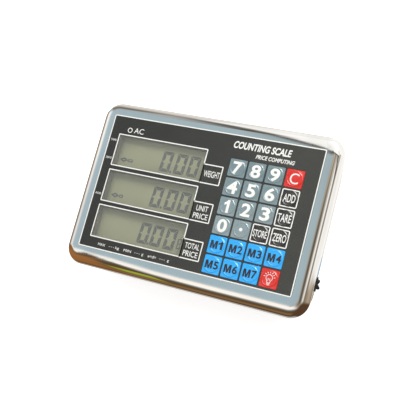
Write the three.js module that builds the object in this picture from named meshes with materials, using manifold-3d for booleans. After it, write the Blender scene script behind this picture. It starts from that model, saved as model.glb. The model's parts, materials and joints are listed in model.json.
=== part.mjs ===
// Indicator head of a price-computing counting scale: a polished steel pan with a printed front
// film, three display windows, a keypad of twenty-four keys, a power rocker on its right wall,
// and the boards, battery, transformer, rear cover and bracket plate behind them.
// Millimetres. The head lies on its back: +X right, +Y up the face, +Z out of the face.
// The origin is the middle of the bracket plate's rear face.
import * as THREE from "three";
import { mergeVertices } from "three/addons/utils/BufferGeometryUtils.js";
import Module from "manifold-3d";

const wasm = await Module();
wasm.setup();

// ---- driving dimensions -------------------------------------------------------------------
const SHELL_WIDTH = 242;
const SHELL_HEIGHT = 163;
const SHELL_DEPTH = 59.5;
const SHEET = 1.2;
const EDGE_RADIUS = 8.5;
const CORNER_RADIUS = 17;
const DRAFT = THREE.MathUtils.degToRad(10.5);

const BRACKET_THICKNESS = 3;
const COVER_THICKNESS = 1.5;
const BACK_Z = BRACKET_THICKNESS + COVER_THICKNESS;
const SHELL_TOP_Z = BACK_Z + SHELL_DEPTH;
const FILM = 0.5;
const FACE_Z = SHELL_TOP_Z + FILM;
const UNDER_FACE_Z = SHELL_TOP_Z - SHEET;
const FILM_WIDTH = 213.2;
const FILM_HEIGHT = 132.3;
const FILM_CORNER = 1.6;
const FILM_AT = [-0.5, 1.6];

const WINDOW_WIDTH = 93.7;
const WINDOW_HEIGHT = 31;
const WINDOW_X = -49.8;
const WINDOW_ROWS = { weight: 33.5, unit_price: -2, total_price: -37.5 };
const TUNNEL_MARGIN = 0.8;
const TUNNEL_DEPTH = 7.3;
const LCD_SIZE = [97, 34.5, 2.8];

const KEY_PITCH = 18;
const KEY_SIZE = 16.4;
const KEY_GAP = 0.3;
const KEY_TRAVEL = 0.5;
const KEY_DOME = 0.7;
const KEY_DOME_RADIUS = 7.8;
const KEYPAD_LEFT = 21.4;
const KEYPAD_TOP = 45.1;
const KEY_ROWS = [
  ["7", "8", "9", "clear"],
  ["4", "5", "6", "add"],
  ["1", "2", "3", "tare"],
  ["0", "point", "store", "zero"],
  ["m1", "m2", "m3", "m4"],
  ["m5", "m6", "m7", "lamp"],
];
const KEY_COLOURS = {
  digit: 0x83989d,
  function: 0x2a2b2a,
  memory: 0x42b2fa,
  alert: 0xe63c32,
};

const BOARD = 1.6;
const KEY_BOARD_Z = 57;
const LCD_BACK_Z = UNDER_FACE_Z - TUNNEL_DEPTH - LCD_SIZE[2];
const LAMP_AT = [-86.8, 54.3];

const ROCKER_AT = { y: -46.3, depth: 30 };
const ROCKER_TILT = THREE.MathUtils.degToRad(8);

const INLET_AT = [-80, 30];
const INLET_HOLE = [27.6, 20.4];
const GROMMET_AT = [-80, -42];
const BATTERY_AT = [34, -34];
const BATTERY_SIZE = [97, 52, 24];

// ---- solids -------------------------------------------------------------------------------
function solid(geometry) {
  const bare = geometry.index ? geometry.toNonIndexed() : geometry.clone();
  bare.deleteAttribute("normal");
  bare.deleteAttribute("uv");
  const merged = mergeVertices(bare, 1e-4);
  return new wasm.Manifold(
    new wasm.Mesh({
      numProp: 3,
      vertProperties: new Float32Array(merged.attributes.position.array),
      triVerts: new Uint32Array(merged.index.array),
    }),
  );
}

function geometryOf(manifold) {
  const mesh = manifold.getMesh();
  const geometry = new THREE.BufferGeometry();
  geometry.setAttribute("position", new THREE.BufferAttribute(mesh.vertProperties, 3));
  geometry.setIndex(new THREE.BufferAttribute(mesh.triVerts, 1));
  return geometry;
}

function roundedRectangle(width, height, radius) {
  const x = width / 2 - radius;
  const y = height / 2 - radius;
  const shape = new THREE.Shape();
  shape.absarc(x, y, radius, 0, Math.PI / 2);
  shape.absarc(-x, y, radius, Math.PI / 2, Math.PI);
  shape.absarc(-x, -y, radius, Math.PI, Math.PI * 1.5);
  shape.absarc(x, -y, radius, Math.PI * 1.5, Math.PI * 2);
  return shape;
}

function extruded(shape, low, high, segments = 3) {
  const geometry = new THREE.ExtrudeGeometry(shape, {
    depth: high - low,
    bevelEnabled: false,
    curveSegments: segments,
  });
  return geometry.translate(0, 0, low);
}

function slab(width, height, radius, low, high, at = [0, 0], segments = 3) {
  const geometry = extruded(roundedRectangle(width, height, radius), low, high, segments);
  return solid(geometry.translate(at[0], at[1], 0));
}

function box(width, height, low, high, at = [0, 0]) {
  const geometry = new THREE.BoxGeometry(width, height, high - low);
  return solid(geometry.translate(at[0], at[1], (low + high) / 2));
}

function post(radius, low, high, at = [0, 0], sides = 16) {
  const geometry = new THREE.CylinderGeometry(radius, radius, high - low, sides);
  geometry.rotateX(Math.PI / 2);
  return solid(geometry.translate(at[0], at[1], (low + high) / 2));
}

// A solid turned about Z from a profile of [radius, height] points that starts and ends on the axis.
function turned(profile, sides, at = [0, 0]) {
  const geometry = new THREE.LatheGeometry(
    profile.map(([radius, height]) => new THREE.Vector2(radius, height)),
    sides,
  );
  geometry.rotateX(Math.PI / 2);
  return solid(geometry.translate(at[0], at[1], 0));
}

function joined(solids) {
  return solids.reduce((sum, next) => sum.add(next));
}

function cut(from, tools) {
  return tools.reduce((rest, tool) => rest.subtract(tool), from);
}

const head = new THREE.Group();

function part(name, manifold, colour, roughness, metalness = 0, parent = head) {
  const material = new THREE.MeshStandardMaterial({ color: colour, roughness, metalness });
  const mesh = new THREE.Mesh(geometryOf(manifold), material);
  mesh.name = name;
  parent.add(mesh);
  return mesh;
}

// ---- shell form ---------------------------------------------------------------------------
// How far the wall stands in from the widest outline, at a depth under the shell's face.
function wallInset(depth) {
  const tangentDepth = EDGE_RADIUS * (1 + Math.sin(DRAFT));
  const tangentInset = EDGE_RADIUS * (1 - Math.cos(DRAFT));
  return tangentInset + (depth - tangentDepth) * Math.tan(DRAFT);
}

// [height, inset, rounding] levels from the back up the drafted wall and over the rounded edge.
// offset is how far this skin lies inside the outer one. The corner radius shrinks by rounding,
// so it stays even down the wall.
function wallProfile(offset, backZ) {
  const radius = EDGE_RADIUS - offset;
  const centreZ = SHELL_TOP_Z - EDGE_RADIUS;
  const steps = 6;
  const backInset = wallInset(SHELL_TOP_Z - backZ) + offset / Math.cos(DRAFT);
  const profile = [[backZ, backInset, EDGE_RADIUS - radius * Math.cos(DRAFT)]];
  for (let i = 0; i <= steps; i += 1) {
    const angle = -DRAFT + ((Math.PI / 2 + DRAFT) * i) / steps;
    const inset = EDGE_RADIUS - radius * Math.cos(angle);
    profile.push([centreZ + radius * Math.sin(angle), inset, inset]);
  }
  return profile;
}

// Scales how far a value stands outside the core by keep, and moves the core's edge in.
function drawnIn(value, core, keep, move) {
  const from = THREE.MathUtils.clamp(value, -core, core);
  return (from * (core - move)) / core + (value - from) * keep;
}

// A stack of rounded rectangles: one extrusion step per profile pair, moved to its height and inset.
function pan(profile) {
  const levels = profile.length - 1;
  const outline = roundedRectangle(SHELL_WIDTH, SHELL_HEIGHT, CORNER_RADIUS);
  const geometry = new THREE.ExtrudeGeometry(outline, {
    depth: levels,
    steps: levels,
    bevelEnabled: false,
    curveSegments: 6,
  });
  const position = geometry.attributes.position;
  const coreX = SHELL_WIDTH / 2 - CORNER_RADIUS;
  const coreY = SHELL_HEIGHT / 2 - CORNER_RADIUS;
  for (let i = 0; i < position.count; i += 1) {
    const x = position.getX(i);
    const y = position.getY(i);
    const [z, inset, rounding] = profile[Math.round(position.getZ(i))];
    const keep = (CORNER_RADIUS - rounding) / CORNER_RADIUS;
    const move = inset - rounding;
    position.setXYZ(i, drawnIn(x, coreX, keep, move), drawnIn(y, coreY, keep, move), z);
  }
  return solid(geometry);
}

// ---- places -------------------------------------------------------------------------------
const windows = Object.entries(WINDOW_ROWS).map(([name, y]) => ({ name, at: [WINDOW_X, y] }));

const keys = KEY_ROWS.flatMap((names, row) =>
  names.map((name, column) => ({
    name,
    at: [
      KEYPAD_LEFT + KEY_SIZE / 2 + KEY_PITCH * column,
      KEYPAD_TOP - KEY_SIZE / 2 - KEY_PITCH * row,
    ],
  })),
);

const keypadWidth = KEY_PITCH * 3 + KEY_SIZE;
const keypadHeight = KEY_PITCH * 5 + KEY_SIZE;
const keypadAt = [KEYPAD_LEFT + keypadWidth / 2, KEYPAD_TOP - keypadHeight / 2];
const keypadCut = [keypadWidth + 2, keypadHeight + 2];

function corners(at, dx, dy) {
  return [
    [at[0] - dx, at[1] - dy],
    [at[0] + dx, at[1] - dy],
    [at[0] + dx, at[1] + dy],
    [at[0] - dx, at[1] + dy],
  ];
}

const mainBoard = { at: [-49.8, -2], width: 122, height: 134 };
const keyBoard = { at: keypadAt, width: keypadWidth + 14, height: keypadHeight + 14 };
const mainStuds = corners(mainBoard.at, 56.5, 62.5);
const keyStuds = corners(keyBoard.at, keyBoard.width / 2 - 3, keyBoard.height / 2 - 3);

const backInset = wallInset(SHELL_DEPTH);
const backWidth = SHELL_WIDTH - 2 * backInset;
const backHeight = SHELL_HEIGHT - 2 * backInset;
const coverScrews = [-1, 0, 1].flatMap((side) =>
  [-1, 1].map((end) => [side * (backWidth / 2 - 8.5), end * (backHeight / 2 - 8)]),
);

// The rocker stands in the right wall. Its group's axes: X along the wall's outward normal,
// Y along the wall's length, Z up the wall towards the face.
const rockerPlace = new THREE.Group();
rockerPlace.position.set(
  SHELL_WIDTH / 2 - wallInset(ROCKER_AT.depth),
  ROCKER_AT.y,
  SHELL_TOP_Z - ROCKER_AT.depth,
);
rockerPlace.rotation.y = DRAFT;
head.add(rockerPlace);

function atRocker(manifold) {
  rockerPlace.updateMatrix();
  return solid(geometryOf(manifold).applyMatrix4(rockerPlace.matrix));
}

// ---- shell, film, windows -----------------------------------------------------------------
function frontShell() {
  const flange = 12;
  const opening = slab(
    backWidth - 2 * flange,
    backHeight - 2 * flange,
    4,
    BACK_Z - 1,
    BACK_Z + SHEET + 1,
  );
  const shell = pan(wallProfile(0, BACK_Z))
    .subtract(pan(wallProfile(SHEET, BACK_Z + SHEET)))
    .subtract(opening);
  const holes = windows.map(({ at }) =>
    box(WINDOW_WIDTH, WINDOW_HEIGHT, UNDER_FACE_Z - 1, SHELL_TOP_Z + 1, at),
  );
  holes.push(box(keypadCut[0], keypadCut[1], UNDER_FACE_Z - 1, SHELL_TOP_Z + 1, keypadAt));
  holes.push(post(2, UNDER_FACE_Z - 1, SHELL_TOP_Z + 1, LAMP_AT, 16));
  coverScrews.forEach((at) => holes.push(post(1.8, BACK_Z - 1, BACK_Z + SHEET + 1, at, 12)));
  holes.push(atRocker(slabAlongX(8.8, 11.6, 0.5, -4, 4)));
  const studs = [
    ...mainStuds.map((at) => post(1.5, LCD_BACK_Z - 4, UNDER_FACE_Z, at, 10)),
    ...keyStuds.map((at) => post(1.5, KEY_BOARD_Z - 4, UNDER_FACE_Z, at, 10)),
  ];
  return cut(shell, holes).add(joined(studs));
}

// A rounded slab standing along X, with its width along Z and its height along Y.
function slabAlongX(width, height, radius, low, high) {
  const geometry = extruded(roundedRectangle(width, height, radius), low, high, 2);
  return solid(geometry.rotateY(Math.PI / 2));
}

function film() {
  const holes = windows.map(({ at }) =>
    box(WINDOW_WIDTH, WINDOW_HEIGHT, SHELL_TOP_Z - 1, FACE_Z + 1, at),
  );
  keys.forEach(({ at }) => {
    const size = KEY_SIZE + 2 * KEY_GAP;
    holes.push(slab(size, size, 1, SHELL_TOP_Z - 1, FACE_Z + 1, at, 1));
  });
  holes.push(post(2, SHELL_TOP_Z - 1, FACE_Z + 1, LAMP_AT, 16));
  return cut(slab(FILM_WIDTH, FILM_HEIGHT, FILM_CORNER, SHELL_TOP_Z, FACE_Z, FILM_AT), holes);
}

part("front_shell", frontShell(), 0xd8d8d4, 0.16, 1);
part("front_film", film(), 0x3c3c38, 0.4);

windows.forEach(({ name, at }) => {
  const width = WINDOW_WIDTH - 0.4;
  const height = WINDOW_HEIGHT - 0.4;
  const pane = box(width, height, UNDER_FACE_Z, FACE_Z - 0.1, at);
  part(`window_pane_${name}`, pane, 0xc8d2c8, 0.08);
  const [glassWidth, glassHeight, glassDepth] = LCD_SIZE;
  const glass = box(glassWidth, glassHeight, LCD_BACK_Z, LCD_BACK_Z + glassDepth, at);
  part(`lcd_${name}`, glass, 0x8f9683, 0.3);
});

function displayFrame() {
  const floor = UNDER_FACE_Z - TUNNEL_DEPTH;
  const block = slab(108, 106, 2, floor, UNDER_FACE_Z, mainBoard.at, 2);
  const tunnels = windows.map(({ at }) =>
    box(
      WINDOW_WIDTH - 2 * TUNNEL_MARGIN,
      WINDOW_HEIGHT - 2 * TUNNEL_MARGIN,
      floor - 1,
      UNDER_FACE_Z + 1,
      at,
    ),
  );
  return cut(block, tunnels);
}

part("display_frame", displayFrame(), 0x6e6c5f, 0.6);

// ---- keypad -------------------------------------------------------------------------------
const keyUnderZ = UNDER_FACE_Z + 0.1;
const keyTopZ = FACE_Z + 0.1;
const plungerTopZ = 60.9;
const stemEndZ = plungerTopZ + KEY_TRAVEL + 0.1;
const keypadFrameTopZ = keyUnderZ - KEY_TRAVEL - 0.2;

function key(at) {
  const pad = slab(KEY_SIZE, KEY_SIZE, 0.8, keyUnderZ, keyTopZ, at, 2);
  const r = KEY_DOME_RADIUS;
  const dome = turned(
    [
      [0, keyTopZ - 0.3],
      [r, keyTopZ - 0.3],
      [r, keyTopZ],
      [r - 0.9, keyTopZ + KEY_DOME * 0.75],
      [r / 2, keyTopZ + KEY_DOME * 0.95],
      [0, keyTopZ + KEY_DOME],
    ],
    16,
    at,
  );
  return joined([pad, dome, post(2, stemEndZ, keyUnderZ + 0.5, at, 10)]);
}

function keyColour(name) {
  if (/^\d$|point/.test(name)) return KEY_COLOURS.digit;
  if (/^m\d/.test(name)) return KEY_COLOURS.memory;
  if (/clear|lamp/.test(name)) return KEY_COLOURS.alert;
  return KEY_COLOURS.function;
}

keys.forEach(({ name, at }) => {
  part(`key_${name}`, key(at), keyColour(name), 0.45);
});

// A plate that guides the key stems, with a rim that touches the face round the keypad opening.
function keypadFrame() {
  const low = 60.2;
  const width = keypadCut[0] + 4;
  const height = keypadCut[1] + 4;
  const tray = box(keypadCut[0], keypadCut[1], keypadFrameTopZ, UNDER_FACE_Z + 1, keypadAt);
  const stemHoles = keys.map(({ at }) => box(7, 7, low - 1, UNDER_FACE_Z, at));
  return cut(box(width, height, low, UNDER_FACE_Z, keypadAt), [tray, ...stemHoles]);
}

function keypadBoard() {
  const board = box(keyBoard.width, keyBoard.height, KEY_BOARD_Z - BOARD, KEY_BOARD_Z, keyBoard.at);
  const studHoles = keyStuds.map((at) =>
    post(1.8, KEY_BOARD_Z - BOARD - 1, KEY_BOARD_Z + 1, at, 12),
  );
  const switches = keys.map(({ at }) =>
    box(6, 6, KEY_BOARD_Z - 0.2, KEY_BOARD_Z + 3, at).add(
      post(1.6, KEY_BOARD_Z + 2, plungerTopZ, at, 8),
    ),
  );
  return cut(board, studHoles).add(joined(switches));
}

part("keypad_frame", keypadFrame(), 0x303230, 0.6);
part("keypad_board", keypadBoard(), 0x2f6b3d, 0.5);

// ---- main board ---------------------------------------------------------------------------
const boardBackZ = LCD_BACK_Z - BOARD;

function mainBoardSolid() {
  const { at, width, height } = mainBoard;
  const board = box(width, height, boardBackZ, LCD_BACK_Z, at);
  return cut(
    board,
    mainStuds.map((stud) => post(1.8, boardBackZ - 1, LCD_BACK_Z + 1, stud, 12)),
  );
}

// The mains lamp: a 3 mm diode whose two legs come down to the main board.
function mainsLamp() {
  const radius = 1.5;
  const body = turned(
    [
      [0, 56],
      [radius + 0.4, 56],
      [radius + 0.4, 57],
      [radius, 57],
      [radius, FACE_Z - 1.6],
      [radius * 0.7, FACE_Z - 0.6],
      [0, FACE_Z - 0.1],
    ],
    12,
    LAMP_AT,
  );
  const legs = [-0.9, 0.9].map((dx) =>
    box(0.5, 0.5, LCD_BACK_Z, 56.5, [LAMP_AT[0] + dx, LAMP_AT[1]]),
  );
  return joined([body, ...legs]);
}

part("main_board", mainBoardSolid(), 0x2f6b3d, 0.5);
part("mains_lamp", mainsLamp(), 0x3a2a28, 0.2);
part("processor", box(20, 14, boardBackZ - 2.5, boardBackZ, [-20, -10]), 0x1c1c1e, 0.5);
part("buzzer", post(6, boardBackZ - 9, boardBackZ, [-20, 30], 20), 0x161616, 0.5);

// ---- power supply -------------------------------------------------------------------------
const powerBoard = { at: [-74, -6], width: 46, height: 40, z: BACK_Z + 6 };

function powerBoardSolid() {
  const { at, width, height, z } = powerBoard;
  const board = box(width, height, z, z + BOARD, at);
  const feet = corners(at, width / 2 - 3, height / 2 - 3).map((foot) =>
    post(2.5, BACK_Z, z + 0.2, foot, 10),
  );
  return joined([board, ...feet]);
}

function transformer() {
  const low = powerBoard.z + BOARD;
  const core = box(40, 14, low, low + 26, powerBoard.at);
  const coil = slab(26, 30, 4, low + 2, low + 24, powerBoard.at, 2);
  return core.add(coil);
}

function batteryClamp() {
  const [width, , height] = BATTERY_SIZE;
  const gap = 0.3;
  const strap = 1;
  const x = width / 2 + gap;
  const top = height + gap;
  const outline = new THREE.Shape();
  outline.moveTo(-x - 10, 0);
  outline.lineTo(-x, 0);
  outline.lineTo(-x, top);
  outline.lineTo(x, top);
  outline.lineTo(x, 0);
  outline.lineTo(x + 8, 0);
  outline.lineTo(x + 8, strap);
  outline.lineTo(x + strap, strap);
  outline.lineTo(x + strap, top + strap);
  outline.lineTo(-x - strap, top + strap);
  outline.lineTo(-x - strap, strap);
  outline.lineTo(-x - 10, strap);
  const geometry = extruded(outline, -8, 8);
  geometry.rotateX(Math.PI / 2);
  return solid(geometry.translate(BATTERY_AT[0], BATTERY_AT[1], BACK_Z));
}

function battery() {
  const [width, height, depth] = BATTERY_SIZE;
  const body = box(width, height, BACK_Z, BACK_Z + depth, BATTERY_AT);
  const tab = [width / 2 - 6, height / 2 + 2];
  const tabs = [-1, 1].map((side) =>
    box(4.8, 8, BACK_Z + 20, BACK_Z + 20.8, [BATTERY_AT[0] + side * tab[0], BATTERY_AT[1] + tab[1]]),
  );
  return joined([body, ...tabs]);
}

part("power_board", powerBoardSolid(), 0x8a6a3a, 0.6);
part("transformer", transformer(), 0x3d3f42, 0.5, 0.3);
part("battery", battery(), 0x26282b, 0.5);
part("battery_clamp", batteryClamp(), 0xb9bcbe, 0.4, 1);

// ---- power rocker -------------------------------------------------------------------------
const bezel = { width: 10.4, height: 12.6, thickness: 1.3, proud: 0.1 };
const cavity = { width: 7.4, height: 10.2, depth: 7 };
const pivotX = bezel.proud + 0.4;

function switchBody() {
  const face = slabAlongX(
    bezel.width,
    bezel.height,
    1,
    bezel.proud,
    bezel.proud + bezel.thickness,
  );
  const housing = slabAlongX(8.2, 11, 0.4, -12, bezel.proud + 0.2);
  const terminals = [-3.5, 3.5].map((y) => {
    const blade = new THREE.BoxGeometry(6, 4, 0.8);
    return solid(blade.translate(-14.5, y, 0));
  });
  const hollow = slabAlongX(cavity.width, cavity.height, 0.3, pivotX - cavity.depth, 5);
  return cut(joined([face, housing, ...terminals]), [hollow]);
}

// The rocker's side view, with its pivot at the origin: a round underside, and a top of two
// facets that meet in a shallow valley.
function rocker() {
  const half = 4.5;
  const end = 3.4;
  const valley = 1.7;
  const belly = 4.3;
  const outline = new THREE.Shape();
  const from = Math.atan2(0.4, half);
  outline.moveTo(valley, 0);
  outline.lineTo(end, half - 0.7);
  outline.lineTo(end - 0.5, half);
  outline.lineTo(0.4, half);
  for (let i = 1; i < 6; i += 1) {
    const angle = Math.PI / 2 - from + ((Math.PI - 2 * from) * i) / 6 + 2 * from;
    outline.lineTo(belly * Math.cos(angle), belly * Math.sin(angle));
  }
  outline.lineTo(0.4, -half);
  outline.lineTo(end - 0.5, -half);
  outline.lineTo(end, -half + 0.7);
  const geometry = extruded(outline, -3.3, 3.3, 4);
  geometry.rotateZ(ROCKER_TILT);
  return solid(geometry.translate(pivotX, 0, 0));
}

part("switch_body", switchBody(), 0x141414, 0.5, 0, rockerPlace);
part("power_rocker", rocker(), 0x101010, 0.35, 0, rockerPlace);

// ---- rear cover, inlet, grommet, bracket --------------------------------------------------
function rearCover() {
  const width = backWidth - 1;
  const height = backHeight - 1;
  const plate = slab(width, height, CORNER_RADIUS - 1, BRACKET_THICKNESS, BACK_Z, [0, 0], 6);
  const low = BRACKET_THICKNESS - 1;
  const high = BACK_Z + 1;
  const vents = Array.from({ length: 6 }, (_, i) =>
    slab(22, 2, 0.9, low, high, [80, 18 + 5 * i], 2),
  );
  return cut(plate, [
    ...coverScrews.map((at) => post(1.8, low, high, at, 12)),
    box(INLET_HOLE[0], INLET_HOLE[1], low, high, INLET_AT),
    post(6, low, high, GROMMET_AT, 20),
    ...vents,
  ]);
}

function coverScrew(at) {
  return turned(
    [
      [0, BRACKET_THICKNESS - 2],
      [2.2, BRACKET_THICKNESS - 1.9],
      [3, BRACKET_THICKNESS - 0.9],
      [3, BRACKET_THICKNESS],
      [1.45, BRACKET_THICKNESS],
      [1.45, BACK_Z + 5],
      [0, BACK_Z + 5.8],
    ],
    12,
    at,
  );
}

// Snap-in mains inlet: a flange outside the cover, a body inside, and three blades in a socket
// that opens to the rear.
function mainsInlet() {
  const mouthZ = 1;
  const floorZ = 19;
  const flange = slab(31, 24, 2, mouthZ, BRACKET_THICKNESS, INLET_AT, 2);
  const body = box(INLET_HOLE[0] - 0.6, INLET_HOLE[1] - 0.6, BRACKET_THICKNESS - 0.2, 24, INLET_AT);
  const socket = slab(24.4, 16.6, 2, mouthZ - 1, floorZ, INLET_AT, 2);
  const blades = [
    [-7, 2],
    [7, 2],
    [0, -2],
  ].map(([dx, dy]) => box(2, 4, 6.4, floorZ + 0.5, [INLET_AT[0] + dx, INLET_AT[1] + dy]));
  return joined([cut(joined([flange, body]), [socket]), ...blades]);
}

// Rubber grommet for the load-cell cable: a ring with a groove that grips the cover.
function grommet() {
  const gap = 0.3;
  const profile = [
    [3.4, BRACKET_THICKNESS - 2],
    [7.6, BRACKET_THICKNESS - 2],
    [8.4, BRACKET_THICKNESS - 1.2],
    [8.4, BRACKET_THICKNESS],
    [6 - gap, BRACKET_THICKNESS],
    [6 - gap, BACK_Z],
    [7.6, BACK_Z],
    [7.6, BACK_Z + 1.6],
    [3.4, BACK_Z + 1.6],
    [3.4, BRACKET_THICKNESS - 2],
  ];
  return turned(profile, 24, GROMMET_AT);
}

function bracketPlate() {
  const plate = slab(110, 70, 6, 0, BRACKET_THICKNESS, [0, 0], 4);
  const holes = corners([0, 0], 42, 24).map((at) => post(2.1, -1, BRACKET_THICKNESS + 1, at, 12));
  return cut(plate, holes);
}

part("rear_cover", rearCover(), 0xc9cac8, 0.35, 1);
coverScrews.forEach((at, index) => {
  part(`cover_screw_${index + 1}`, coverScrew(at), 0xb0b2b4, 0.3, 1);
});
part("mains_inlet", mainsInlet(), 0x161616, 0.5);
part("cable_grommet", grommet(), 0x1d1d1d, 0.8);
part("bracket_plate", bracketPlate(), 0xb4b6b6, 0.45, 1);

export default head;
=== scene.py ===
# Looks of the price-computing scale head: steel skin, printed film, keys, windows, rocker and rear
# fittings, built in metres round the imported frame.
import json
import math

import bmesh
import bpy
from mathutils import Matrix, Vector


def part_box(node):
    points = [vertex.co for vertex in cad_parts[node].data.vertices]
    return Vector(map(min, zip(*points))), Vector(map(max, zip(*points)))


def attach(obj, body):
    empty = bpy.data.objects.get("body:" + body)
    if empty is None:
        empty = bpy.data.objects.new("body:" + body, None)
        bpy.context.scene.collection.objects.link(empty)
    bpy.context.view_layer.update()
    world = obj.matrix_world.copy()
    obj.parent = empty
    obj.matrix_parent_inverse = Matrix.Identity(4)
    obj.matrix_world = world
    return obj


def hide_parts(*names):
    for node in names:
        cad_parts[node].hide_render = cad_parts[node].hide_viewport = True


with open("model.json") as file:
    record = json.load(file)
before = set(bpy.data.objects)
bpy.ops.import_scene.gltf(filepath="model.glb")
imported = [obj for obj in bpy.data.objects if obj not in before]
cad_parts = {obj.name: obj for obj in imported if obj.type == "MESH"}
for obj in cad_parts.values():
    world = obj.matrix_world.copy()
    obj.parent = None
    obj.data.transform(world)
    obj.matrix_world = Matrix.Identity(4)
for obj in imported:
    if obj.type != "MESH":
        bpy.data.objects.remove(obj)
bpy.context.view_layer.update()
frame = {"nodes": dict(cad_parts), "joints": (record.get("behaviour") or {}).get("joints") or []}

MM = 0.001
HOUSING = "housing"


def node_box(name):
    """Lowest and highest corner of a CAD node, in millimetres."""
    low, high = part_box(name)
    return low / MM, high / MM


def centre(name):
    """Middle of a CAD node as seen from above, in millimetres."""
    low, high = node_box(name)
    return tuple(((low + high) / 2).xy)


def extent(name):
    """Width and height of a CAD node as seen from above, in millimetres."""
    low, high = node_box(name)
    return high.x - low.x, high.y - low.y


# ---- the frame's own sizes ----
SHELL_BACK_Z, SHELL_TOP_Z = (corner.z for corner in node_box("front_shell"))
FACE_Z = node_box("front_film")[1].z
SHELL_WIDTH, SHELL_HEIGHT = extent("front_shell")
CORNER_RADIUS = 17.0
EDGE_RADIUS = 8.5
SHEET = 1.2
DRAFT = math.radians(10.5)
KEY_SIZE = extent("key_7")[0]
KEY_TOP_Z = FACE_Z + 0.1
INK = 0.03

WINDOWS = ("weight", "unit_price", "total_price")
SCREWS = [f"cover_screw_{i}" for i in range(1, 7)]
SCREW_HOLE = 1.8
KEY_NAMES = [n[4:] for n in frame["nodes"] if n.startswith("key_")]


# ---- meshes ----
def ring(width, height, radius, z, inset=0.0, at=(0, 0), segments=8):
    """Points of a rounded rectangle, drawn in by inset, anticlockwise at height z."""
    r = max(radius - inset, 0.05)
    x = width / 2 - inset - r
    y = height / 2 - inset - r
    points = []
    for quarter, (sx, sy) in enumerate(((1, 1), (-1, 1), (-1, -1), (1, -1))):
        for i in range(segments + 1):
            a = math.pi / 2 * (quarter + i / segments)
            points.append((at[0] + sx * x + r * math.cos(a), at[1] + sy * y + r * math.sin(a), z))
    return points


def circle(radius, z, at=(0, 0), count=48):
    turn = 2 * math.pi / count
    return [
        (at[0] + radius * math.cos(i * turn), at[1] + radius * math.sin(i * turn), z)
        for i in range(count)
    ]


def stack(loops, closed=False):
    """A solid skinned over loops of equal length, capped at both ends, or joined end to end."""
    bm = bmesh.new()
    rows = [[bm.verts.new(p) for p in loop] for loop in loops]
    pairs = list(zip(rows, rows[1:]))
    if closed:
        pairs.append((rows[-1], rows[0]))
    for a, b in pairs:
        for i in range(len(a)):
            j = (i + 1) % len(a)
            bm.faces.new((a[i], a[j], b[j], b[i]))
    if not closed:
        bm.faces.new(reversed(rows[0]))
        bm.faces.new(rows[-1])
    return bm


def added(name, data):
    """A new object in the scene."""
    obj = bpy.data.objects.new(name, data)
    bpy.context.scene.collection.objects.link(obj)
    return obj


def mesh_of(bm, name="part"):
    """Turns a bmesh into a mesh and frees it."""
    mesh = bpy.data.meshes.new(name)
    bm.to_mesh(mesh)
    bm.free()
    return mesh


def evaluated(obj):
    """Mesh of an object with its text or modifiers worked out."""
    bpy.context.view_layer.update()
    seen = obj.evaluated_get(bpy.context.evaluated_depsgraph_get())
    return bpy.data.meshes.new_from_object(seen)


def turned(bm, matrix):
    bmesh.ops.transform(bm, matrix=matrix, verts=bm.verts)
    return bm


def merged(parts):
    """Several bmeshes as one."""
    out = bmesh.new()
    for bm in parts:
        mesh = mesh_of(bm)
        out.from_mesh(mesh)
        bpy.data.meshes.remove(mesh)
    return out


def disc(radius, low, high, at, count=24):
    return stack([circle(radius, z, at, count) for z in (low, high)])


def washer(inner, outer, low, high, at, count=24):
    levels = ((inner, low), (outer, low), (outer, high), (inner, high))
    return stack([circle(r, z, at, count) for r, z in levels], closed=True)


def slab(width, height, radius, low, high, at=(0, 0), segments=3):
    """A slab with rounded corners and sharp top and bottom edges."""
    return stack([ring(width, height, radius, z, 0, at, segments) for z in (low, high)])


def block(width, height, low, high, radius=0.4, bevel=0.2, at=(0, 0), segments=4):
    """A slab with rounded corners and softened top and bottom edges."""
    turns = [math.pi / 2 * i / 3 for i in range(4)]
    levels = [(low + bevel * (1 - math.cos(a)), bevel * (1 - math.sin(a))) for a in turns]
    levels += [(high - bevel * (1 - math.sin(a)), bevel * (1 - math.cos(a))) for a in turns]
    return stack([ring(width, height, radius, z, inset, at, segments) for z, inset in levels])


def plate_ring(width, height, line, low, high, radius=0.3, at=(0, 0)):
    """A flat rectangular frame whose line is centred on the outline width by height."""
    half = line / 2
    outer = (width + line, height + line, radius + half)
    inner = (width - line, height - line, max(radius - half, 0.05))
    levels = ((inner, low), (outer, low), (outer, high), (inner, high))
    return stack([ring(*size, z, 0, at, 3) for size, z in levels], closed=True)


AXIS_RADIUS = 0.01


def lathe(profile, at=(0, 0), count=40):
    """A solid of revolution about Z from (radius, height) points that start and end near the axis."""
    return stack([circle(max(r, AXIS_RADIUS), z, at, count) for r, z in profile])


def fill_box(points, width, height, at):
    """Points stretched and moved to fill a box of width by height centred at a point."""
    xs, ys = zip(*points)
    scale_x = width / (max(xs) - min(xs))
    scale_y = height / (max(ys) - min(ys))
    cx, cy = (max(xs) + min(xs)) / 2, (max(ys) + min(ys)) / 2
    return [(at[0] + (x - cx) * scale_x, at[1] + (y - cy) * scale_y) for x, y in points]


def lettering(text, width, height, at, z, weight=0.0, slant=0.0):
    """Flat raised letters that fill a box of width by height centred at a point."""
    curve = bpy.data.curves.new("letters", "FONT")
    curve.body = text
    curve.size = 10.0
    curve.offset = weight
    curve.shear = slant
    curve.resolution_u = 6
    curve.extrude = INK / 2
    holder = added("letters", curve)
    mesh = evaluated(holder)
    bm = bmesh.new()
    bm.from_mesh(mesh)
    bpy.data.objects.remove(holder)
    bpy.data.curves.remove(curve)
    bpy.data.meshes.remove(mesh)
    bmesh.ops.remove_doubles(bm, verts=bm.verts, dist=1e-5)
    placed = fill_box([(v.co.x, v.co.y) for v in bm.verts], width, height, at)
    for v, (x, y) in zip(bm.verts, placed):
        v.co = (x, y, v.co.z + z + INK / 2)
    return bm


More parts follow.
